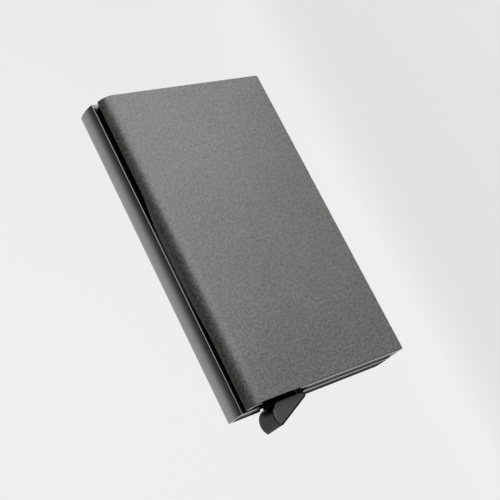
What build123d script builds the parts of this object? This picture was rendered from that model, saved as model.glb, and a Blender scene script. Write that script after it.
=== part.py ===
from build123d import *
import os
from math import atan2, cos, degrees, hypot, radians, sin, sqrt, tan

# Slide-cover card wallet.  Millimetres.
# X runs across the wallet, Y along it towards the mouth that the cards leave by, Z out of the front.
# The origin is the centre of the card case's flat back face, which is what the wallet lies on.

os.makedirs("parts", exist_ok=True)

# ---------------------------------------------------------------- driving dimensions
# The cards that the case is made for, and the room round them
card_width = 54.0
card_length = 85.6
card_side_room = 3.35       # from the cards to each inner side of the case
mouth_recess = 4.8          # from the cards' top edge to the case's mouth
end_depth = 11.6            # from the case's lower end to the ledges that the cards stand on

# Card case: an extruded aluminium tube, open at both ends
case_thickness = 7.6
case_wall = 0.8
case_corner = 0.35          # outer rounding between the flat faces and the bulged sides
case_inner_corner = 0.3
side_bulge = 0.7            # how far each long side bows outwards
case_edge_break = 0.15

# Base insert: the moulding that closes the lower end and carries the lever
insert_recess = 0.3         # how far its end face lies inside the case's end
insert_fit = 0.05
insert_plate = 0.85         # its two plates, either side of the lever
insert_end_wall = 2.2
insert_ledge = 1.2          # how far each ledge reaches under the cards
groove_width = 1.5
groove_depth = 1.3
groove_spread = 3.6         # between the middles of the two grooves in the end face

# Lever pivot
pivot_from_side = 6.65
pivot_from_end = 3.4
pin_radius = 1.0
pin_press_gap = 0.01
pin_running_gap = 0.05
hub_radius = 2.3
lever_side_gap = 0.25       # from the lever to each plate
lever_swing = 25.0          # degrees
sweep_gap = 0.25

# Ejector lever: the stepped arm
arm_steps = 5               # one step for each card
longest_arm = 48.5
step_shortening = 8.0
arm_tip_depth = 2.4
arm_drop = 0.8              # the arm's rest height below the ledges that the cards stand on
arm_root = 4.0              # where the arm's top edge starts, from the pivot
web_right = 16.2            # right side of the web that joins the arm to the tab
web_clearance = 0.6         # the web's lower edge, below the pivot

# Ejector lever: the finger tab outside the case, each reach taken from the pivot along X
tab_thickness = 8.5         # it stands proud of the case's front face
tab_back_gap = 0.1          # from the case's back face to the tab's
tab_right_reach = 16.9
tab_top_drop = 0.05         # each drop taken from the case's end
tab_heel_drop = 1.6
tab_tip_reach = 4.7
tab_tip_drop = 6.9
tab_nose_reach = 3.6
tab_nose_drop = 3.1
tab_shoulder_reach = 6.2
tab_corner = 0.5
tab_shoulder_corner = 0.2
tab_edge = 0.35
tab_groove_depth = 0.4
tab_groove_height = 0.4
tab_cap = 0.8               # the cap above that groove

# Finger notch, through the case's end and the insert
notch_reach = 5.5           # from the pivot to its left side
notch_corner = 0.6
step_depth = 2.0            # a step beside it at the front, from the case's end
wall_step_reach = 0.3       # from the pivot to the step's left side, in the case's wall
plate_step_reach = 1.8      # and in the insert's front plate

# Grip pads: the strips that press on the cards near the mouth
pad_width = 4.0
pad_length = 32.0
pad_thickness = 0.8
pad_from_mouth = 7.0
pad_inset = 2.0             # from the cards' long edges

# Slide: the cover that wraps the front and the right side
cover_wall = 1.2
pocket_height = 3.6         # between the case's front face and the cover's inner face
lip_inset = 1.55            # from the case's left side to the cover's lip
lip_radius = 4.5
right_corner = 0.9
side_gap = 0.55             # from the case's right side to the cover's wall
wall_lift = 2.4             # the right wall's lower edge above the case's back
lip_gap_upper = 1.7         # the lip's height above the case's front: mouth end,
lip_gap_middle = 0.15       # its tongue,
lip_gap_lower = 1.15        # and the lever's end
tongue_upper_start = 20.0
tongue_upper_end = 4.0
tongue_lower_start = -9.0
tongue_lower_end = -31.0
cover_edge_break = 0.3
cover_high_inset = 0.2      # from the case's mouth to the cover's end
cover_low_inset = 0.4       # and at the lever's end
slide_travel = 25.0
stop_gap = 0.2              # from the lip's inner face to the guide shoes, with the cover out

# Slide ends: the moulded runners inside the cover's two ends
end_wall = 1.1              # from the case's end to the wall's inner face
runner_lift = 0.3           # above the case's front face
hook_height = 0.8
hook_reach = 1.05
glue_flange_height = 0.8
glue_flange_width = 3.4
flange_side_gap = 0.6       # from the glue flange to the cover's side walls
runner_corner_gap = 0.1
relief_depth = 0.3          # the cover's edge, where it passes over the finger tab
relief_left_inset = 1.6     # from the lip to the relief's left end
relief_right_inset = 3.7    # from the relief's right end to the tab's right side

# Guide shoes: the fixed rails that hold the runners down
running_gap = 0.25
shoe_base_width = 3.5
shoe_base_height = 0.8
shoe_web = 0.9
shoe_flange_height = 0.85
shoe_right_inset = 3.5      # from the shoe's right end to the case's side
rivet_radius = 0.8
rivet_head_radius = 1.2
rivet_head_height = 0.4
rivet_hole_gap = 0.02
shoe_rivet_inset = 4.0      # from a shoe's ends to its two rivets

# Brake springs, one bowed leaf in each shoe
spring_length = 12.0
spring_thickness = 0.2
spring_height = 0.7
spring_seat = 0.6           # how deep the leaf's seat is cut into the shoe
spring_touch_gap = 0.05
spring_end_gap = 0.2

# Money band, its clips and their rivets
band_width = 14.0
band_thickness = 0.7
band_end_gap = 1.6          # from the band's ends to the guide shoes
band_from_side = 18.0       # from its middle line to the case's right side
clip_width = 5.0
clip_sheet = 0.4
clip_tab = 3.2
clip_side_gap = 0.2
clip_from_band_end = 1.0
band_rivet_radius = 0.55
band_head_radius = 1.0
band_head_height = 0.3

# ---------------------------------------------------------------- places worked out from them
case_length = end_depth + card_length + mouth_recess
case_width = card_width + 2 * (card_side_room + case_wall)
end_y = case_length / 2                      # the mouth; the lever's end is at -end_y
half_width = case_width / 2
middle_z = case_thickness / 2
ledge_y = -end_y + end_depth
pivot_x = -half_width + pivot_from_side
pivot_y = -end_y + pivot_from_end
tab_right = pivot_x + tab_right_reach
tab_top = -end_y - tab_top_drop
tab_sweep = hypot(tab_right_reach, pivot_from_end + tab_heel_drop) + sweep_gap
notch_left = pivot_x + notch_reach
insert_low = case_wall + insert_fit
insert_high = case_thickness - case_wall - insert_fit
lever_low = insert_low + insert_plate + lever_side_gap
lever_high = insert_high - insert_plate - lever_side_gap
arm_top = ledge_y - arm_drop - pivot_y       # above the pivot
step_height = (lever_high - lever_low) / arm_steps

cover_inside = case_thickness + pocket_height
cover_high = end_y - cover_high_inset         # the cover's end at the mouth
cover_low = -end_y + cover_low_inset          # and the one at the lever
cover_front = cover_inside + cover_wall
lip_x = -half_width + lip_inset
relief = (lip_x + relief_left_inset, tab_right - relief_right_inset)
lip_curve_x = lip_x + lip_radius             # the axis of the lip's rounding
lip_curve_z = cover_front - lip_radius
lip_inner_radius = lip_radius - cover_wall
wall_inside = half_width + side_gap
cover_right = wall_inside + cover_wall
lip_low = case_thickness + lip_gap_middle

runner_low = case_thickness + runner_lift
hook_y = end_y - end_wall - hook_reach       # inner edge of the hook
shoe_web_y = hook_y - running_gap            # outer face of the shoe's web
shoe_flange_low = runner_low + hook_height + running_gap
shoe_top = shoe_flange_low + shoe_flange_height
lip_at_shoe = lip_curve_x - sqrt(lip_inner_radius ** 2 - (shoe_top - lip_curve_z) ** 2)
shoe_left = lip_at_shoe + slide_travel + stop_gap
shoe_right = half_width - shoe_right_inset
shoe_middle = (shoe_left + shoe_right) / 2
shoe_rivet_y = shoe_web_y - shoe_web - (shoe_base_width - shoe_web) / 2
band_end_y = shoe_web_y - shoe_base_width - band_end_gap
band_middle = half_width - band_from_side


# ---------------------------------------------------------------- small builders
def block(x, y, z):
    """A box between two corners, each given as a (low, high) pair."""
    size = (x[1] - x[0], y[1] - y[0], z[1] - z[0])
    return Pos((x[0] + x[1]) / 2, (y[0] + y[1]) / 2, (z[0] + z[1]) / 2) * Box(*size)


def slab(face, low, high):
    """An XY outline made solid between two heights."""
    return extrude(Plane.XY.offset(low) * face, high - low)


def length_of(face, low, high):
    """An XZ section run along Y between two stations."""
    section = Plane(origin=(0, high, 0), x_dir=(1, 0, 0), z_dir=(0, -1, 0))
    return extrude(section * face, high - low)


def peg(x, y, radius, low, high):
    """A round peg standing along Z."""
    return Pos(x, y, (low + high) / 2) * Cylinder(radius, high - low)


def from_pivot(radius, angle):
    """The point at a radius and an angle, in degrees, about the lever's pivot."""
    return (pivot_x + radius * cos(radians(angle)), pivot_y + radius * sin(radians(angle)))


def write(shape, node):
    """One STEP file for each node."""
    shape.label = node
    export_step(shape, f"parts/{node}.step")


# ---------------------------------------------------------------- card case
def tube_section(inset, corner):
    """The tube's section, inset from its outer surface: flat faces and gently bowed sides."""
    half = half_width - inset
    flat = half - side_bulge
    low, high = inset, case_thickness - inset
    outline = [
        Line((-flat, low), (flat, low)),
        ThreePointArc((flat, low), (half, middle_z), (flat, high)),
        Line((flat, high), (-flat, high)),
        ThreePointArc((-flat, high), (-half, middle_z), (-flat, low)),
    ]
    face = make_face(outline)
    return fillet(face.vertices(), corner)


def tab_corner_points():
    """Corners of the finger tab: tip, nose, shoulder, top right and heel."""
    return {
        "tip": (pivot_x + tab_tip_reach, -end_y - tab_tip_drop),
        "nose": (pivot_x + tab_nose_reach, -end_y - tab_nose_drop),
        "shoulder": (pivot_x + tab_shoulder_reach, tab_top),
        "top_right": (tab_right, tab_top),
        "heel": (tab_right, -end_y - tab_heel_drop),
    }


def finger_notch():
    """The opening that the finger tab swings up into: a pie slice about the pivot, cut off at its left."""
    corners = tab_corner_points()
    reach = tab_sweep
    top = corners["top_right"]
    top_radius = hypot(top[0] - pivot_x, top[1] - pivot_y)
    swept = degrees(atan2(top[1] - pivot_y, top[0] - pivot_x)) + lever_swing
    ray = swept + degrees(sweep_gap / top_radius)
    straight_down = -90.0
    halfway = (ray + straight_down) / 2
    past_end = pivot_y - reach
    upper_left = (notch_left, pivot_y + notch_reach * tan(radians(ray)))
    outline = [
        Line((notch_left, past_end), upper_left),
        Line(upper_left, from_pivot(reach, ray)),
        ThreePointArc(from_pivot(reach, ray), from_pivot(reach, halfway), (pivot_x, past_end)),
        Line((pivot_x, past_end), (notch_left, past_end)),
    ]
    face = make_face(outline)
    inner_corners = face.vertices().sort_by(Axis.Y)[-2:]
    return fillet(inner_corners, notch_corner)


def card_case():
    tube = length_of(tube_section(0.0, case_corner), -end_y, end_y)
    ends = tube.faces().sort_by(Axis.Y)[0].edges() + tube.faces().sort_by(Axis.Y)[-1].edges()
    tube = chamfer(ends, case_edge_break)
    tube -= length_of(tube_section(case_wall, case_inner_corner), -end_y, end_y)
    tube -= slab(finger_notch(), 0.0, case_thickness)
    step_x = (pivot_x + wall_step_reach, notch_left + notch_corner)
    tube -= block(step_x, (-end_y, -end_y + step_depth), (case_thickness - case_wall, case_thickness))
    for x, y in shoe_rivet_places():
        tube -= peg(x, y, rivet_radius + rivet_hole_gap, case_thickness - case_wall, case_thickness)
    for x, y in band_rivet_places():
        tube -= peg(x, y, band_rivet_radius + rivet_hole_gap, case_thickness - case_wall, case_thickness)
    return tube


# ---------------------------------------------------------------- base insert and lever
def base_insert():
    """The moulding in the lower end: two plates, an end wall and two ledges, open between for the lever."""
    outer = -end_y + insert_recess
    inner = outer + insert_end_wall
    body = length_of(tube_section(case_wall + insert_fit, case_inner_corner), outer, ledge_y)
    pocket_left = -card_width / 2 + insert_ledge
    pocket_right = card_width / 2 - insert_ledge
    pocket_z = (insert_low + insert_plate, insert_high - insert_plate)
    body -= block((pocket_left, pocket_right), (inner, ledge_y), pocket_z)
    body -= peg(pivot_x, pivot_y, hub_radius + sweep_gap, *pocket_z)
    body -= slab(finger_notch(), insert_low, insert_high)
    step_x = (pivot_x + plate_step_reach, notch_left + notch_corner)
    body -= block(step_x, (outer, -end_y + step_depth), (insert_high - insert_plate, insert_high))
    body -= peg(pivot_x, pivot_y, pin_radius + pin_press_gap, insert_low, insert_high)
    for side in (-1, 1):
        groove_z = middle_z + side * groove_spread / 2
        groove = (groove_z - groove_width / 2, groove_z + groove_width / 2)
        body -= block((-half_width, half_width), (outer, outer + groove_depth), groove)
    # the grooves stop short of the pivot's seat
    seat = peg(pivot_x, pivot_y, hub_radius + sweep_gap + insert_plate, insert_low, insert_high)
    seat -= peg(pivot_x, pivot_y, hub_radius + sweep_gap, *pocket_z)
    seat -= peg(pivot_x, pivot_y, pin_radius + pin_press_gap, insert_low, insert_high)
    seat &= block((-half_width, notch_left), (outer, inner), (insert_low, insert_high))
    return body + seat


def arm_outline(reach):
    """One step of the lever: the arm above, and the web that runs down to the tab."""
    web_left = notch_reach + sweep_gap
    web_low = tab_top - tab_corner - pivot_y
    points = [
        (0.0, hub_radius),
        (arm_root, arm_top),
        (reach, arm_top),
        (reach, arm_top - arm_tip_depth),
        (web_right, -web_clearance),
        (tab_right_reach - tab_corner, web_low),
        (web_left, web_low),
        (web_left, -web_clearance),
        (0.0, -web_clearance),
    ]
    outline = Polyline(*[(pivot_x + x, pivot_y + y) for x, y in points], close=True)
    return make_face(outline)


def tab_outline(inset):
    """The finger tab: a round nose on the left, a straight slanted edge below and a square heel."""
    p = tab_corner_points()
    outline = [
        ThreePointArc(p["tip"], p["nose"], p["shoulder"]),
        Line(p["shoulder"], p["top_right"]),
        Line(p["top_right"], p["heel"]),
        Line(p["heel"], p["tip"]),
    ]
    face = make_face(outline)
    corners = face.vertices().sort_by_distance(p["shoulder"])
    face = fillet(corners[1:], tab_corner)
    shoulder = face.vertices().sort_by_distance(p["shoulder"])[0]
    face = fillet(shoulder, tab_shoulder_corner)
    return offset(face, -inset) if inset else face


def ejector_lever():
    lever = peg(pivot_x, pivot_y, hub_radius, lever_low, lever_high)
    for step in range(arm_steps):
        low = lever_low + step * step_height
        lever += slab(arm_outline(longest_arm - step * step_shortening), low, low + step_height)
    tab_low = tab_back_gap
    tab_high = tab_low + tab_thickness
    tab = slab(tab_outline(0.0), tab_low, tab_high)
    rims = tab.faces().sort_by(Axis.Z)[0].edges() + tab.faces().sort_by(Axis.Z)[-1].edges()
    tab = fillet(rims, tab_edge)
    groove_high = tab_high - tab_cap
    groove = (groove_high - tab_groove_height, groove_high)
    tab -= slab(tab_outline(0.0), *groove) - slab(tab_outline(tab_groove_depth), *groove)
    lever += tab
    lever -= peg(pivot_x, pivot_y, pin_radius + pin_running_gap, lever_low, lever_high)
    return lever


def lever_pin():
    return peg(pivot_x, pivot_y, pin_radius, insert_low, insert_high)


# ---------------------------------------------------------------- grip pads
def grip_pad(side, low):
    """A strip glued to the inside of the front or back wall, near the mouth."""
    far = side * (card_width / 2 - pad_inset)
    near = far - side * pad_width
    top = end_y - pad_from_mouth
    pad = block((min(near, far), max(near, far)), (top - pad_length, top), (low, low + pad_thickness))
    return fillet(pad.edges().filter_by(Axis.Z), pad_width / 2 - pad_thickness / 2)


# ---------------------------------------------------------------- slide cover
def cover_section():
    """The cover's section: rounded lip at the left, flat front, square wall down the right side."""
    lip_in = lip_x + cover_wall
    out_corner = (cover_right - right_corner, cover_front - right_corner)
    outline = [
        Line((lip_x, lip_low), (lip_x, lip_curve_z)),
        RadiusArc((lip_x, lip_curve_z), (lip_curve_x, cover_front), lip_radius),
        Line((lip_curve_x, cover_front), (out_corner[0], cover_front)),
        RadiusArc((out_corner[0], cover_front), (cover_right, out_corner[1]), right_corner),
        Line((cover_right, out_corner[1]), (cover_right, wall_lift)),
        Line((cover_right, wall_lift), (wall_inside, wall_lift)),
        Line((wall_inside, wall_lift), (wall_inside, cover_inside)),
        Line((wall_inside, cover_inside), (lip_curve_x, cover_inside)),
        RadiusArc((lip_curve_x, cover_inside), (lip_in, lip_curve_z), -lip_inner_radius),
        Line((lip_in, lip_curve_z), (lip_in, lip_low)),
        Line((lip_in, lip_low), (lip_x, lip_low)),
    ]
    return make_face(outline)


def lip_cut():
    """What is cut from below the lip, so that its edge dips to a tongue between two raised ends."""
    upper = case_thickness + lip_gap_upper
    middle = case_thickness + lip_gap_middle
    lower = case_thickness + lip_gap_lower
    level = ((-1, 0), (-1, 0))
    outline = [
        Line((end_y, middle), (end_y, upper)),
        Line((end_y, upper), (tongue_upper_start, upper)),
        Spline((tongue_upper_start, upper), (tongue_upper_end, middle), tangents=level),
        Line((tongue_upper_end, middle), (end_y, middle)),
    ]
    above = make_face(outline)
    outline = [
        Line((-end_y, middle), (-end_y, lower)),
        Line((-end_y, lower), (tongue_lower_end, lower)),
        Spline((tongue_lower_start, middle), (tongue_lower_end, lower), tangents=level),
        Line((tongue_lower_start, middle), (-end_y, middle)),
    ]
    below = make_face(outline)
    across = Plane(origin=(lip_x, 0, 0), x_dir=(0, 1, 0), z_dir=(1, 0, 0))
    return [extrude(across * face, lip_radius) for face in (above, below)]


def slide_shell():
    shell = length_of(cover_section(), cover_low, cover_high)
    outer = []
    for end in (shell.faces().sort_by(Axis.Y)[0], shell.faces().sort_by(Axis.Y)[-1]):
        for edge in end.edges():
            spot = edge.position_at(0.5)
            round_edge = edge.geom_type == GeomType.CIRCLE and edge.radius > lip_radius - cover_wall / 2
            flat_edge = edge.geom_type == GeomType.LINE and spot.Z > cover_front - cover_wall / 2
            side_edge = edge.geom_type == GeomType.LINE and spot.X > cover_right - cover_wall / 2
            corner_edge = edge.geom_type == GeomType.CIRCLE and spot.X > cover_right - right_corner
            if round_edge or flat_edge or side_edge or corner_edge:
                outer.append(edge)
    shell = chamfer(outer, cover_edge_break)
    for piece in lip_cut():
        shell -= piece
    shell -= block(relief, (cover_low, cover_low + relief_depth), (cover_inside, cover_front))
    return shell


def slide_end(side):
    """A runner: the wall that closes the pocket's end, a hook below it and a flange glued to the cover."""
    radius = lip_inner_radius + runner_corner_gap
    centre = (lip_x + cover_wall + radius, cover_inside - radius)
    # its left side stands where that rounding is at half its turn
    half_turn = radius * sin(radians(45))
    left = centre[0] - half_turn
    outline = [
        Line((left, runner_low), (left, centre[1] + half_turn)),
        RadiusArc((left, centre[1] + half_turn), (centre[0], cover_inside), radius),
        Line((centre[0], cover_inside), (wall_inside, cover_inside)),
        Line((wall_inside, cover_inside), (wall_inside, runner_low)),
        Line((wall_inside, runner_low), (left, runner_low)),
    ]
    wall_face = make_face(outline)
    inner = end_y - end_wall
    outer = cover_high if side > 0 else -cover_low
    runner = length_of(wall_face, inner, outer)
    hook_right = wall_inside - flange_side_gap
    hook_left = centre[0]
    runner += block((hook_left, hook_right), (hook_y, inner), (runner_low, runner_low + hook_height))
    flange_z = (cover_inside - glue_flange_height, cover_inside)
    runner += block((hook_left, hook_right), (inner - glue_flange_width, inner), flange_z)
    if side < 0:
        runner = mirror(runner, Plane.XZ)
        # the tab swings up past the left end of what is left
        swept = (relief[0], pivot_x + tab_sweep)
        runner -= block(swept, (cover_low, -inner), (runner_low, cover_inside))
        runner -= block(swept, (-inner, -hook_y), (runner_low, runner_low + hook_height))
    return runner


# ---------------------------------------------------------------- guide shoes, their rivets and springs
def shoe_rivet_places():
    xs = (shoe_left + shoe_rivet_inset, shoe_right - shoe_rivet_inset)
    return [(x, side * shoe_rivet_y) for side in (-1, 1) for x in xs]


def guide_shoe(side):
    """A fixed rail on the case's front: a base strip, a web and an outward flange over the hook."""
    run = (shoe_left, shoe_right)
    base_y = (shoe_web_y - shoe_base_width, shoe_web_y)
    shoe = block(run, base_y, (case_thickness, case_thickness + shoe_base_height))
    shoe += block(run, (shoe_web_y - shoe_web, shoe_web_y), (case_thickness, shoe_top))
    flange_out = end_y - end_wall - running_gap
    shoe += block(run, (shoe_web_y - shoe_web, flange_out), (shoe_flange_low, shoe_top))
    half_seat = spring_length / 2 + spring_end_gap
    seat = (shoe_middle - half_seat, shoe_middle + half_seat)
    shoe -= block(seat, (flange_out - spring_seat, flange_out), (shoe_flange_low, shoe_top))
    if side < 0:
        shoe = mirror(shoe, Plane.XZ)
    for x, y in shoe_rivet_places():
        if y * side > 0:
            top = case_thickness + shoe_base_height
            shoe -= peg(x, y, rivet_radius + rivet_hole_gap, case_thickness, top)
    return shoe


def rivets(places, radius, head_radius, head_height, seat):
    """Rivets through the case front wall, flush inside it, with their heads on the given height."""
    group = []
    for x, y in places:
        rivet = peg(x, y, radius, case_thickness - case_wall, seat)
        head = peg(x, y, head_radius, seat, seat + head_height)
        head = fillet(head.edges().sort_by(Axis.Z)[-1], head_height / 2)
        group.append(rivet + head)
    return Compound(children=group)


def shoe_rivets():
    seat = case_thickness + shoe_base_height
    return rivets(shoe_rivet_places(), rivet_radius, rivet_head_radius, rivet_head_height, seat)


def brake_spring(side):
    """A bowed leaf whose ends sit in the shoe and whose crown bears on the runner's wall."""
    floor = end_y - end_wall - running_gap - spring_seat
    crown = end_y - end_wall - spring_touch_gap
    foot = floor + spring_thickness
    left = shoe_middle - spring_length / 2
    right = shoe_middle + spring_length / 2
    outline = [
        ThreePointArc((left, foot), (shoe_middle, crown), (right, foot)),
        Line((right, foot), (right, floor)),
        ThreePointArc((right, floor), (shoe_middle, crown - spring_thickness), (left, floor)),
        Line((left, floor), (left, foot)),
    ]
    middle = (shoe_flange_low + shoe_top) / 2
    leaf = slab(make_face(outline), middle - spring_height / 2, middle + spring_height / 2)
    return leaf if side > 0 else mirror(leaf, Plane.XZ)


# ---------------------------------------------------------------- money band, its clips and their rivets
def clip_place(side):
    """The middle of a clip along Y."""
    return side * (band_end_y - clip_from_band_end - clip_width / 2)


def band_rivet_places():
    reach = band_width / 2 + clip_side_gap + clip_sheet + clip_tab / 2
    return [(band_middle + step * reach, clip_place(side)) for side in (-1, 1) for step in (-1, 1)]


def money_band():
    across = (band_middle - band_width / 2, band_middle + band_width / 2)
    return block(across, (-band_end_y, band_end_y), (case_thickness, case_thickness + band_thickness))


def band_clip(side):
    """A folded steel bridge: it presses the band's end down and is riveted at both of its feet."""
    y = (clip_place(side) - clip_width / 2, clip_place(side) + clip_width / 2)
    gap = band_width / 2 + clip_side_gap
    outside = gap + clip_sheet
    foot = outside + clip_tab
    top = case_thickness + band_thickness + clip_sheet
    sheet_z = (case_thickness, case_thickness + clip_sheet)
    clip = block((band_middle - outside, band_middle + outside), y, (case_thickness, top))
    clip -= block((band_middle - gap, band_middle + gap), y, (case_thickness, top - clip_sheet))
    clip += block((band_middle - foot, band_middle - outside), y, sheet_z)
    clip += block((band_middle + outside, band_middle + foot), y, sheet_z)
    for x, place in band_rivet_places():
        clip -= peg(x, place, band_rivet_radius + rivet_hole_gap, *sheet_z)
    return clip


def band_rivets():
    seat = case_thickness + clip_sheet
    return rivets(band_rivet_places(), band_rivet_radius, band_head_radius, band_head_height, seat)


# ---------------------------------------------------------------- write every node
write(card_case(), "card_case")
write(base_insert(), "base_insert")
write(ejector_lever(), "ejector_lever")
write(lever_pin(), "lever_pin")

front_pad_low = case_thickness - case_wall - pad_thickness
for side, hand in ((-1, "left"), (1, "right")):
    write(grip_pad(side, case_wall), f"grip_pad_back_{hand}")
    write(grip_pad(side, front_pad_low), f"grip_pad_front_{hand}")

write(slide_shell(), "slide_shell")
for side, end in ((1, "top"), (-1, "bottom")):
    write(slide_end(side), f"slide_end_{end}")
    write(guide_shoe(side), f"guide_shoe_{end}")
    write(brake_spring(side), f"brake_spring_{end}")
    write(band_clip(side), f"band_clip_{end}")

write(money_band(), "money_band")
write(shoe_rivets(), "shoe_rivets")
write(band_rivets(), "band_rivets")
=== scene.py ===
from math import cos, pi, radians, sin

import bmesh
import bpy
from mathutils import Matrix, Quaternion, Vector


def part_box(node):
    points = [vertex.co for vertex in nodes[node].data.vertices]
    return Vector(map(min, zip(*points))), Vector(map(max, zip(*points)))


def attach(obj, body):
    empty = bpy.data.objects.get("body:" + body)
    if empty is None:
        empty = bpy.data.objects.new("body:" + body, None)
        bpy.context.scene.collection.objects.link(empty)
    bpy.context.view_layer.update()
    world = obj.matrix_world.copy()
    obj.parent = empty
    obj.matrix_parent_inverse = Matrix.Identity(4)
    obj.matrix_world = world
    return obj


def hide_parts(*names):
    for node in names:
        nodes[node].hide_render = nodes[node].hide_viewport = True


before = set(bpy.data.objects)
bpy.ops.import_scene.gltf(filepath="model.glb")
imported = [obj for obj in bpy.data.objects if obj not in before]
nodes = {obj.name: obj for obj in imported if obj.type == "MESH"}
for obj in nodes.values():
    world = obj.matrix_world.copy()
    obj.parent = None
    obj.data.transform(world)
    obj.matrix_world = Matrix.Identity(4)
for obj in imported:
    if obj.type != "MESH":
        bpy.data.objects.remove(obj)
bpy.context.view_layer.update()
MM = 0.001

# ---------------------------------------------------------------- studio
# The wallet hangs above a wide pale floor. A long lens looks at it from above its lower left
# corner, and is turned so that the wallet leans across the view.
focal_length = 81.31
view_aim = Vector((0.74, -5.0, 5.98)) * MM
camera_distance = 341.6 * MM
camera_azimuth = radians(-69.06)
camera_elevation = radians(46.79)
camera_roll = radians(47.41)


def sight_line(azimuth, elevation):
    """The direction from the wallet to a place at this azimuth and elevation."""
    level = cos(elevation)
    return Vector((sin(azimuth) * level, -cos(azimuth) * level, sin(elevation)))


camera = bpy.data.objects.new("camera", bpy.data.cameras.new("camera"))
camera.data.lens = focal_length
camera.data.clip_start = 0.01
camera_side = sight_line(camera_azimuth, camera_elevation)
camera.location = view_aim + camera_side * camera_distance
camera.rotation_mode = "QUATERNION"
level_turn = (-camera_side).to_track_quat("-Z", "Y")
camera.rotation_quaternion = level_turn @ Quaternion((0, 0, 1), camera_roll)
bpy.context.scene.collection.objects.link(camera)
bpy.context.scene.camera = camera
bpy.context.scene.view_settings.view_transform = "Standard"


class Shade:
    """One output of a shader node. Arithmetic on it adds Math nodes, and node() adds any other kind."""

    def __init__(self, tree, socket=None):
        self.tree = tree
        self.socket = socket

    def node(self, kind, settings, inputs, output=0):
        """A new node's output: its settings are set first, then the values or links of its sockets."""
        made = self.tree.nodes.new(kind)
        for name, setting in settings.items():
            setattr(made, name, setting)
        for name, value in inputs.items():
            if isinstance(value, Shade):
                self.tree.links.new(made.inputs[name], value.socket)
            else:
                made.inputs[name].default_value = value
        return Shade(self.tree, made.outputs[output])

    def maths(self, operation, *others):
        return self.node("ShaderNodeMath", {"operation": operation}, dict(enumerate((self, *others))))

    def __add__(self, other):
        return self.maths("ADD", other)

    __radd__ = __add__

    def __mul__(self, other):
        return self.maths("MULTIPLY", other)

    __rmul__ = __mul__

    def __sub__(self, other):
        return self.maths("SUBTRACT", other)

    def __rsub__(self, other):
        return self * -1.0 + other

    def __abs__(self):
        return self.maths("ABSOLUTE")

    def ramp(self, low, high):
        """0 below low and 1 above high, with a smooth rise between. It falls instead where high < low."""
        settings = {"interpolation_type": "SMOOTHSTEP"}
        if high < low:
            return 1.0 - self.ramp(high, low)
        return self.node("ShaderNodeMapRange", settings, {0: self, 1: low, 2: high})


# The room is even and soft. What the camera and the gloss see of it is pale, nearly white.
pale = 0.83
room_level = 0.24

world = bpy.data.worlds.new("room")
bpy.context.scene.world = world
world.use_nodes = True


def seen_directly(tree):
    """1 for what the camera sees, also by way of gloss or glass, and 0 for the light on things."""
    start = Shade(tree)
    camera_ray = start.node("ShaderNodeLightPath", {}, {}, "Is Camera Ray")
    glossy_ray = start.node("ShaderNodeLightPath", {}, {}, "Is Glossy Ray")
    glass_ray = start.node("ShaderNodeLightPath", {}, {}, "Is Transmission Ray")
    return camera_ray.maths("MAXIMUM", glossy_ray).maths("MAXIMUM", glass_ray)


room = world.node_tree.nodes["Background"]
room.inputs["Color"].default_value = (1, 1, 1, 1)
room_strength = room_level + seen_directly(world.node_tree) * (pale - room_level)
world.node_tree.links.new(room.inputs["Strength"], room_strength.socket)

# The floor is a wide pale sheet well below the wallet, so only a faint, soft shadow reaches it.
floor_depth = 0.42
floor_size = 12.0
floor_colour = (0.5, 0.5, 0.498, 1)
floor_lift = (0.665, 0.665, 0.665, 1)   # what the camera and the gloss see on top of its own shade
unlit = (0, 0, 0, 1)


def link_piece(name, mesh):
    """A new object at the origin that carries a finished bmesh."""
    data = bpy.data.meshes.new(name)
    mesh.to_mesh(data)
    mesh.free()
    piece = bpy.data.objects.new(name, data)
    bpy.context.scene.collection.objects.link(piece)
    return piece


floor_mesh = bmesh.new()
bmesh.ops.create_grid(floor_mesh, x_segments=1, y_segments=1, size=floor_size / 2)
bmesh.ops.translate(floor_mesh, verts=floor_mesh.verts, vec=(0, 0, -floor_depth))
floor = link_piece("floor", floor_mesh)


def start_material(name, even):
    """A new material with the even values on its shader's sockets, and its surface in millimetres."""
    material = bpy.data.materials.new(name)
    material.use_nodes = True
    shader = material.node_tree.nodes["Principled BSDF"]
    for socket, value in even.items():
        shader.inputs[socket].default_value = value
    place = Shade(material.node_tree).node("ShaderNodeTexCoord", {}, {}, "Object")
    spot = place.node("ShaderNodeVectorMath", {"operation": "SCALE"}, {0: place, "Scale": 1 / MM})
    return material, spot


def lay_on(material, varying):
    """Links what varies over the surface to the material's shader."""
    shader = material.node_tree.nodes["Principled BSDF"]
    for socket, value in varying.items():
        material.node_tree.links.new(shader.inputs[socket], value.socket)


def blend_colours(factor, low, high):
    """A colour between two, by a varying factor."""
    return factor.node("ShaderNodeMix", {"data_type": "RGBA"}, {0: factor, 6: low, 7: high}, 2)


even = {"Base Color": floor_colour, "Roughness": 0.9, "Emission Strength": 1.0}
floor_paper, _ = start_material("pale_floor", even)
floor_seen = seen_directly(floor_paper.node_tree)
lay_on(floor_paper, {"Emission Color": blend_colours(floor_seen, unlit, floor_lift)})
floor.data.materials.append(floor_paper)

# One wide soft box stands beyond the mouth and leans over the wallet, so that its light fades
# towards the lever's end. A black card on each side darkens the lip's side and the tab's right
# rim, and gives polished metal its dark line.
box_watts = 2.0
box_width = 0.6
box_height = 0.368
box_place = Vector((73, 157, 394)) * MM
box_aim = Vector((0.05, -0.64, -0.76))

light = bpy.data.lights.new("soft_box", "AREA")
light.energy = box_watts
light.shape = "RECTANGLE"
light.size = box_width
light.size_y = box_height
soft_box = bpy.data.objects.new("soft_box", light)
soft_box.location = box_place
soft_box.rotation_mode = "QUATERNION"
soft_box.rotation_quaternion = box_aim.to_track_quat("-Z", "Y")
soft_box.visible_camera = False
bpy.context.scene.collection.objects.link(soft_box)

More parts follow.
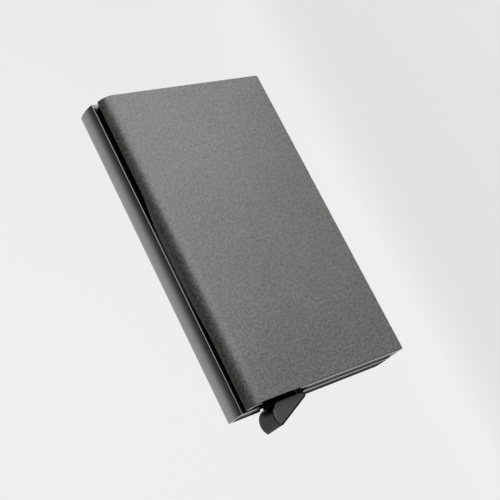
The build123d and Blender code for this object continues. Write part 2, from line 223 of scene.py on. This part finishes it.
card_length = 1.4
card_black = (0.01, 0.01, 0.01, 1)
card_pale = (0.8, 0.8, 0.8, 1)


def graded_card(name, across, low, pale_to, high):
    """An upright card along the wallet, at a distance across it. It is hidden from the camera, and
    black but for its foot, which gloss sees as pale as the floor."""
    mesh = bmesh.new()
    bmesh.ops.create_grid(mesh, x_segments=1, y_segments=1, size=0.5)
    bmesh.ops.scale(mesh, verts=mesh.verts, vec=(high - low, card_length, 1.0))
    bmesh.ops.rotate(mesh, verts=mesh.verts, matrix=Quaternion((0, 1, 0), pi / 2).to_matrix())
    bmesh.ops.translate(mesh, verts=mesh.verts, vec=(across, 0, (low + high) / 2))
    card = link_piece(name, mesh)
    card.visible_camera = False
    even = {"Base Color": card_black, "Roughness": 0.9, "Emission Strength": 1.0}
    paper, spot = start_material(name, even)
    height = spot.node("ShaderNodeSeparateXYZ", {}, {0: spot}, "Z")
    foot = height.ramp(pale_to / MM, low / MM) * seen_directly(paper.node_tree)
    lay_on(paper, {"Emission Color": blend_colours(foot, unlit, card_pale)})
    card.data.materials.append(paper)


graded_card("left_card", across=-0.35, low=-0.41, pale_to=-0.05, high=0.27)
graded_card("right_card", across=0.5, low=-0.34, pale_to=-0.3, high=0.12)


# ---------------------------------------------------------------- card case
# The case is a thin extruded aluminium tube, sawn to length, blasted, and anodised a dark grey.
# Its two ends are cut after that, so their rims and small chamfers are brighter metal.
case_grey = (0.25, 0.251, 0.254, 1)
case_pale = (0.31, 0.311, 0.314, 1)
# painted shade on the front face and its corners
face_painted_shade = (0.1, 0.1, 0.102, 1)
cut_metal = (0.35, 0.35, 0.354, 1)
cut_reach = 0.2             # how far the bright cut reaches in from each end
face_shade_depth = (0.3, 0.1)      # below the front face, where the painted shade starts and where it is full
blast_rise = 0.006          # millimetres from the foot of the blasted grain to its top


def stretched(spot, scale):
    """The surface's millimetres times a scale on each axis."""
    return spot.node("ShaderNodeVectorMath", {"operation": "MULTIPLY"}, {0: spot, 1: scale})


def mottle(spot, scale, detail=2.0, roughness=0.5):
    """Noise with so many features in a millimetre, from about 0.3 to 0.7."""
    inputs = {"Vector": spot, "Scale": scale, "Detail": detail, "Roughness": roughness}
    return spot.node("ShaderNodeTexNoise", {}, inputs)


def axis_of(spot, axis):
    return spot.node("ShaderNodeSeparateXYZ", {}, {0: spot}, axis)


def relief(height, distance):
    """A bump of this height in millimetres, as a surface normal."""
    return height.node("ShaderNodeBump", {}, {"Height": height, "Distance": distance * MM, "Strength": 1.0})


def give(material, *names):
    """These CAD nodes keep their shape and take this material."""
    for name in names:
        nodes[name].data.materials.clear()
        nodes[name].data.materials.append(material)


def anodised_metal():
    material, spot = start_material("anodised_aluminium", {"Metallic": 1.0, "IOR": 1.45})
    case_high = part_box("card_case")[1] / MM
    die_lines = mottle(stretched(spot, (5.0, 0.04, 5.0)), 1.0, 5.0, 0.6)
    cloud = mottle(spot, 0.07, 3.0)
    blast = mottle(spot, 9.0, 2.0)
    cut = abs(axis_of(spot, "Y")).ramp(case_high.y - cut_reach, case_high.y - cut_reach * 0.8)
    tone = (die_lines * 1.2 + cloud * 0.8 - 0.5).ramp(0.0, 1.0)
    # painted shade: the front face and its corners are darker, standing in for the shade under the cover
    # and for a dimmer reflection on the corner
    face = axis_of(spot, "Z").ramp(case_high.z - face_shade_depth[0], case_high.z - face_shade_depth[1])
    sides = blend_colours(tone, case_grey, case_pale)
    colour = blend_colours(cut, blend_colours(face, sides, face_painted_shade), cut_metal)
    lay_on(material, {
        "Base Color": colour,
        "Roughness": 0.16 + die_lines * 0.08 + cloud * 0.05 - cut * 0.04,
        "Normal": relief(blast * 0.5 + die_lines * 0.5, blast_rise),
    })
    return material


give(anodised_metal(), "card_case")


# ---------------------------------------------------------------- grip pads
# Four strips of pressed felt are glued inside the case near its mouth, two to each wall. They rub
# on the outer cards and keep the stack from sliding out.
felt_dark = (0.035, 0.035, 0.037, 1)
felt_pale = (0.085, 0.085, 0.088, 1)
felt_edge = 0.25
same_place = 1e-6           # metres: two vertices nearer than this are level
felt_rise = 0.08            # how high the fibres stand
felt_round_steps = 24
felt_edge_steps = 3


def felt():
    even = {"Roughness": 0.95, "Sheen Weight": 0.4, "Sheen Roughness": 0.5}
    material, spot = start_material("pressed_felt", even)
    fibres = mottle(stretched(spot, (3.0, 9.0, 6.0)), 1.0, 5.0, 0.7)
    tufts = mottle(spot, 1.4, 3.0)
    tone = (fibres * 0.7 + tufts * 0.6 - 0.15).ramp(0.2, 0.8)
    lay_on(material, {
        "Base Color": blend_colours(tone, felt_dark, felt_pale),
        "Normal": relief(fibres + tufts * 0.6, felt_rise),
    })
    return material


def felt_strip(node, material):
    """A strip in the space of its CAD solid, with rounded ends and soft edges."""
    low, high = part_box(node)
    middle = (low + high) / 2
    width, length, height = high - low
    strip = bmesh.new()
    bmesh.ops.create_circle(strip, segments=felt_round_steps, radius=width / 2, cap_ends=False)
    for side in (-1, 1):
        half = [v for v in strip.verts if v.co.y * side > same_place]
        bmesh.ops.translate(strip, verts=half, vec=(0, side * (length - width) / 2, 0))
    face = bmesh.ops.contextual_create(strip, geom=strip.edges[:])["faces"]
    raised = bmesh.ops.extrude_face_region(strip, geom=face)["geom"]
    top = [g for g in raised if isinstance(g, bmesh.types.BMVert)]
    bmesh.ops.translate(strip, verts=top, vec=(0, 0, height))
    bmesh.ops.translate(strip, verts=strip.verts, vec=(middle.x, middle.y, low.z))
    rim = [e for e in strip.edges if abs(e.verts[0].co.z - e.verts[1].co.z) < same_place]
    bmesh.ops.bevel(strip, geom=rim, offset=felt_edge * MM, segments=felt_edge_steps,
                    profile=0.5, affect="EDGES", material=-1)
    bmesh.ops.recalc_face_normals(strip, faces=strip.faces)
    piece = link_piece(node + "_felt", strip)
    piece.data.polygons.foreach_set("use_smooth", [True] * len(piece.data.polygons))
    piece.data.materials.append(material)
    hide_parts(node)
    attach(piece, "case")


pad_felt = felt()
for wall in ("back", "front"):
    for hand in ("left", "right"):
        felt_strip(f"grip_pad_{wall}_{hand}", pad_felt)


# ---------------------------------------------------------------- base insert
# A black moulding closes the case's lower end. It was pushed in with a tight fit, it carries the
# lever between its two plates, and the cards stand on its ledges.
moulded_black = (0.008, 0.008, 0.0085, 1)
moulded_black_worn = (0.018, 0.018, 0.019, 1)
painted_shade_black = (0.002, 0.002, 0.002, 1)       # painted shade: taken as metal, it has no shine
black_grain = 4.0           # pits in a millimetre
black_shine = 0.34          # the least roughness of the black mouldings
skin_rise = 0.025           # millimetres from a pit's floor to the skin
# Round the finger notch the insert is painted matt black, as shade. Each pair is where that starts and
# where it is full.
mouth_left = (-26.5, -26.0)
mouth_right = (-7.0, -7.5)
mouth_top = (-46.0, -47.0)


def moulding(name, dark, light, grain, shine, marked=None):
    """Moulded plastic with the fine pitted skin of its mould, and the marks that marked adds."""
    material, spot = start_material(name, {"IOR": 1.5, "Specular IOR Level": 0.5})
    pits = mottle(spot, grain, 3.0, 0.6)
    flow = mottle(stretched(spot, (0.1, 0.35, 0.35)), 1.0, 3.0)
    tone = (pits * 0.7 + flow * 0.7 - 0.2).ramp(0.2, 0.85)
    varying = {"Base Color": blend_colours(tone, dark, light)}
    if marked:
        marked(spot, varying)
    lay_on(material, varying | {
        "Roughness": shine + pits * 0.16 + flow * 0.08,
        "Normal": relief(pits, skin_rise),
    })
    return material


def black_moulding(name, marked=None):
    return moulding(name, moulded_black, moulded_black_worn, black_grain, black_shine, marked)


def add_painted_shade(varying, share):
    """Painted shade: dull black where the share is 1, over the colour that is there."""
    varying["Base Color"] = blend_colours(share, varying["Base Color"], painted_shade_black)
    varying["Metallic"] = share


def shade_round_mouth(spot, varying):
    """Painted shade: the insert's end round the finger notch is dull and quite black."""
    x = axis_of(spot, "X")
    across = x.ramp(*mouth_left) * x.ramp(*mouth_right)
    add_painted_shade(varying, axis_of(spot, "Y").ramp(*mouth_top) * across)


give(black_moulding("insert_black_plastic", shade_round_mouth), "base_insert")


# ---------------------------------------------------------------- ejector lever and its pin
# The lever is one black moulding: a hub, a stepped arm that fans the cards, and the finger tab
# outside the case. It turns on a bright steel pin that is pressed into the insert.
steel_dark = (0.5, 0.5, 0.51, 1)
steel_light = (0.72, 0.72, 0.73, 1)
steel_rise = 0.008          # millimetres from the foot of a turning mark to its top
ring_rate = 38.0            # radians of the turning marks in a millimetre
# painted light: the tab's side near its tip, as lit
lit_side_grey = (0.11, 0.11, 0.111, 1)
# painted highlight on the tab's rim
highlight_grey = (0.2, 0.2, 0.202, 1)
# Where the tab's painted light and shade start and where they are full, in millimetres.
lit_from_tip = (4.6, 3.4)   # above the tab's lowest point: the side is painted paler there, as lit
groove_top = (0.67, 0.72)   # below the front face, as in the next four: the painted shade in the groove
groove_foot = (1.1, 1.05)
rim_top = (0.02, 0.08)      # the side begins here, off the front face
highlight_foot = (0.82, 0.72)     # the rim between the face and the groove is painted pale, a painted highlight
edge_shade_foot = (0.72, 0.62)    # the painted shade along the edges goes down to here
edge_shade_reach = (-0.6, -0.45)  # and reaches in from the face's two outer straight edges
near_case = (-53.1, -52.3)  # the tab's side is painted matt black as shade from here up to the case
in_case = (-51.15, -50.95)  # and so is all that lies inside the case
tab_tip = Vector((-19.8, -57.9))    # the ends of the face's slanted edge, across and along the case
tab_heel = Vector((-7.6, -52.6))
slant_edge = (tab_heel - tab_tip).normalized()


def tab_painted_light_and_shade(spot, varying):
    """The tab's side is painted paler near its tip, as lit, and its rim is a painted highlight. Painted
    shade makes its groove, its face's two outer straight edges and all near and in the case dull black.
    """
    low, high = (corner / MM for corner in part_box("ejector_lever"))
    x, y, z = (axis_of(spot, axis) for axis in "XYZ")
    below = z * -1.0 + high.z
    off_face = below.ramp(*rim_top)
    # painted light: the side near the tip is paler, as lit
    lit_side = off_face * (y - low.y).ramp(*lit_from_tip)
    rim = off_face * below.ramp(*highlight_foot)
    groove = below.ramp(*groove_top) * below.ramp(*groove_foot)
    past_slant = (x - tab_tip.x) * slant_edge.y - (y - tab_tip.y) * slant_edge.x
    past_edges = past_slant.maths("MAXIMUM", x - tab_heel.x)
    line = past_edges.ramp(*edge_shade_reach) * below.ramp(*edge_shade_foot)
    # painted shade: dull black in the groove, along the two outer edges, near the case and inside it
    shade_share = groove.maths("MAXIMUM", line).maths("MAXIMUM", y.ramp(*in_case))
    shade_share = shade_share.maths("MAXIMUM", off_face * y.ramp(*near_case))
    colour = blend_colours(lit_side, varying["Base Color"], lit_side_grey)
    # painted highlight on the rim
    varying["Base Color"] = blend_colours(rim, colour, highlight_grey)
    add_painted_shade(varying, shade_share)


give(black_moulding("tab_black_plastic", tab_painted_light_and_shade), "ejector_lever")


def turned_steel(name, rings):
    """Bright steel with fine rings round the nearest of its pins or rivets, from a lathe or a press."""
    material, spot = start_material(name, {"Metallic": 1.0, "IOR": 1.45})
    marks = (rings(spot) * ring_rate).maths("SINE")
    scuffs = mottle(spot, 4.0, 4.0, 0.65)
    tone = (marks * 0.25 + scuffs).ramp(0.1, 0.9)
    lay_on(material, {
        "Base Color": blend_colours(tone, steel_dark, steel_light),
        "Roughness": 0.2 + scuffs * 0.2,
        "Normal": relief(marks * 0.3 + scuffs, steel_rise),
    })
    return material


def rings_about(node, head_radius=None):
    """Distances from the nearest of a node's four rivets, whose heads have this radius, or from the
    middle of its one pin."""
    low, high = (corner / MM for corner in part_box(node))
    middle = (low + high) / 2
    spacing = Vector((0, 0))
    if head_radius:
        spacing = (high - low).xy / 2 - Vector((head_radius, head_radius))

    def distance(spot):
        x = abs(axis_of(spot, "X") - middle.x) - spacing.x
        y = abs(axis_of(spot, "Y") - middle.y) - spacing.y
        return (x * x + y * y).maths("SQRT")

    return distance


give(turned_steel("pin_steel", rings_about("lever_pin")), "lever_pin")


# ---------------------------------------------------------------- guide shoes, rivets and springs
# Two black moulded rails are riveted to the case's front, and the cover's runners hook under
# them. A bowed bronze leaf in each presses on the runner, so that the cover stays where it is put.
shoe_rivet_head = 1.2
bronze_dark = (0.42, 0.27, 0.13, 1)
bronze_light = (0.62, 0.42, 0.22, 1)
bronze_rise = 0.006         # millimetres from the foot of a rolling mark to its top


def rolled_bronze():
    material, spot = start_material("rolled_bronze", {"Metallic": 1.0, "IOR": 1.45})
    rolling = mottle(stretched(spot, (0.6, 8.0, 14.0)), 1.0, 4.0, 0.6)
    tarnish = mottle(spot, 0.8, 4.0, 0.6)
    tone = (rolling * 0.5 + tarnish * 0.6).ramp(0.3, 0.8)
    lay_on(material, {
        "Base Color": blend_colours(tone, bronze_dark, bronze_light),
        "Roughness": 0.22 + tarnish * 0.2,
        "Normal": relief(rolling, bronze_rise),
    })
    return material


give(black_moulding("moulded_black_plastic"), "guide_shoe_top", "guide_shoe_bottom")
give(turned_steel("shoe_rivet_steel", rings_about("shoe_rivets", shoe_rivet_head)), "shoe_rivets")
give(rolled_bronze(), "brake_spring_top", "brake_spring_bottom")


# ---------------------------------------------------------------- money band, clips and rivets
# A black woven elastic lies along the case's front, under the cover, and holds folded notes. A
# folded steel clip and two small rivets hold down each end.
band_rib_count = 11
band_rib_rise = 0.07
band_edge = 0.2
band_rib_steps = 6           # faces across one rib
band_length_steps = 110
selvedge_thinning = 0.3     # of the band's thickness, at its two long edges
yarn_rise = 0.09            # millimetres from between the yarns to their tops
band_rivet_head = 1.0
weft_pitch = 0.42
elastic_dark = (0.012, 0.012, 0.013, 1)
elastic_light = (0.075, 0.075, 0.08, 1)
brush_rise = 0.006          # millimetres from the foot of a clip's brush mark to its top


def woven_elastic(low, width):
    material, spot = start_material("woven_elastic", {"Roughness": 0.8, "Sheen Weight": 0.25})
    across = (axis_of(spot, "X") - low.x / MM) * (2 * pi * band_rib_count / width * MM)
    along = axis_of(spot, "Y") * (2 * pi / weft_pitch)
    rib = across.maths("COSINE") * -0.5 + 0.5
    stagger = (across * 0.5).maths("SINE").maths("SIGN") * (pi / 2)
    picks = (along + stagger).maths("SINE") * 0.5 + 0.5
    fuzz = mottle(spot, 7.0, 3.0, 0.7)
    yarn = rib * 0.35 + picks * 0.5 + fuzz * 0.3
    lay_on(material, {
        "Base Color": blend_colours(yarn.ramp(0.2, 1.1), elastic_dark, elastic_light),
        "Roughness": 0.7 + fuzz * 0.25,
        "Normal": relief(yarn, yarn_rise),
    })
    return material


def elastic_band(node):
    """The band in the space of its CAD solid, with ribs along it and rounded selvedges."""
    low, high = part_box(node)
    middle = (low + high) / 2
    width, length, height = high - low
    band = bmesh.new()
    across = band_rib_count * band_rib_steps
    bmesh.ops.create_grid(band, x_segments=across, y_segments=band_length_steps, size=0.5)
    bmesh.ops.scale(band, verts=band.verts, vec=(width, length, 1))
    for v in band.verts:
        rib = 0.5 - 0.5 * cos(2 * pi * band_rib_count * (v.co.x / width + 0.5))
        edge = max(0.0, abs(v.co.x) - (width / 2 - band_edge * MM)) / (band_edge * MM)
        v.co.z = height / 2 - band_rib_rise * MM * (1 - rib) - height * selvedge_thinning * edge * edge
    top = band.faces[:]
    under = bmesh.ops.duplicate(band, geom=band.verts[:] + band.edges[:] + top)["geom"]
    lower = [g for g in under if isinstance(g, bmesh.types.BMVert)]
    bmesh.ops.scale(band, verts=lower, vec=(1, 1, -1))
    bmesh.ops.reverse_faces(band, faces=[g for g in under if isinstance(g, bmesh.types.BMFace)])
    rims = [e for e in band.edges if e.is_boundary]
    bmesh.ops.bridge_loops(band, edges=rims)
    bmesh.ops.translate(band, verts=band.verts, vec=middle)
    bmesh.ops.recalc_face_normals(band, faces=band.faces)
    piece = link_piece("money_band_elastic", band)
    piece.data.polygons.foreach_set("use_smooth", [True] * len(piece.data.polygons))
    piece.data.materials.append(woven_elastic(low, width))
    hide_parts(node)
    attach(piece, "case")


def folded_steel():
    material, spot = start_material("folded_steel", {"Metallic": 1.0, "IOR": 1.45})
    brushing = mottle(stretched(spot, (0.5, 9.0, 9.0)), 1.0, 4.0, 0.6)
    scuffs = mottle(spot, 2.5, 4.0, 0.65)
    tone = (brushing * 0.6 + scuffs * 0.5).ramp(0.25, 0.85)
    lay_on(material, {
        "Base Color": blend_colours(tone, steel_dark, steel_light),
        "Roughness": 0.24 + scuffs * 0.14,
        "Normal": relief(brushing, brush_rise),
    })
    return material


elastic_band("money_band")
give(folded_steel(), "band_clip_top", "band_clip_bottom")
give(turned_steel("band_rivet_steel", rings_about("band_rivets", band_rivet_head)), "band_rivets")


# ---------------------------------------------------------------- slide cover
# The cover is one bent aluminium sheet that wraps the front and the right side. It has a grained
# warm grey powder coat, cut through to bright metal by the small chamfers along its two ends.
coat_dark = (0.045, 0.0446, 0.0428, 1)
coat_light = (0.16, 0.158, 0.1525, 1)
# bare metal of the chamfers, also used for the painted light on the lip
cut_and_lit_bright = (0.5, 0.497, 0.49, 1)
coat_grain = 1.3            # grains in a millimetre
coat_rise = 0.09            # millimetres from a grain's foot to its top
bare_reach = 0.3            # the chamfer along each end, cut through the coat
lip_light_height = (10.0, 8.0)    # painted light on the lip's lower side, blended towards bright metal as if lit from below, from the first height down to the second
lip_light_side = (-27.0, -28.0)   # and on the lip's side only, past these places across the cover
# how far the painted light goes towards bright metal
lip_light_share = 0.25


def powder_coat():
    even = {"IOR": 1.5, "Specular IOR Level": 0.5}
    material, spot = start_material("grained_powder_coat", even)
    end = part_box("slide_shell")[1].y / MM
    grain = mottle(spot, coat_grain, 2.0, 0.55)
    fine = mottle(spot, coat_grain * 3.2, 2.0, 0.5)
    cloud = mottle(spot, 0.05, 2.0)
    texture = grain * 0.62 + fine * 0.38
    along = abs(axis_of(spot, "Y"))
    bare = along.ramp(end - bare_reach, end - bare_reach * 0.9) * along.ramp(end, end - bare_reach * 0.1)
    # painted light on the lip's lower side, as from the floor below
    lip_light = axis_of(spot, "Z").ramp(*lip_light_height) * axis_of(spot, "X").ramp(*lip_light_side) * lip_light_share
    bare_and_lip_light = bare.maths("MAXIMUM", lip_light)
    coat = blend_colours((texture * 0.9 + cloud * 0.1).ramp(0.33, 0.67), coat_dark, coat_light)
    lay_on(material, {
        "Base Color": blend_colours(bare_and_lip_light, coat, cut_and_lit_bright),
        "Metallic": bare_and_lip_light,
        "Roughness": 0.2 + texture * 0.08,
        "Normal": relief(texture * (1.0 - bare), coat_rise),
    })
    return material


give(powder_coat(), "slide_shell")


# ---------------------------------------------------------------- slide ends
# The two runners are grey mouldings glued inside the cover's ends. Each closes the pocket under
# the cover, and its hook runs under the guide shoe.
moulded_grey = (0.11, 0.11, 0.112, 1)
moulded_pale = (0.18, 0.18, 0.182, 1)
grey_grain = 5.0            # pits in a millimetre
grey_shine = 0.38           # the least roughness of the grey mouldings
# Beside the finger tab the lower moulding is painted matt black, as shade. Each pair is where that starts
# and is full.
corner_left = (-12.5, -12.0)
corner_right = (-7.2, -7.6)


def grey_moulding(name, marked=None):
    return moulding(name, moulded_grey, moulded_pale, grey_grain, grey_shine, marked)


def shade_beside_tab(spot, varying):
    """Painted shade: beside the finger tab the lower moulding is as black as the pocket behind it."""
    x = axis_of(spot, "X")
    add_painted_shade(varying, x.ramp(*corner_left) * x.ramp(*corner_right))


give(grey_moulding("moulded_grey_plastic"), "slide_end_top")
give(grey_moulding("lower_grey_plastic", shade_beside_tab), "slide_end_bottom")
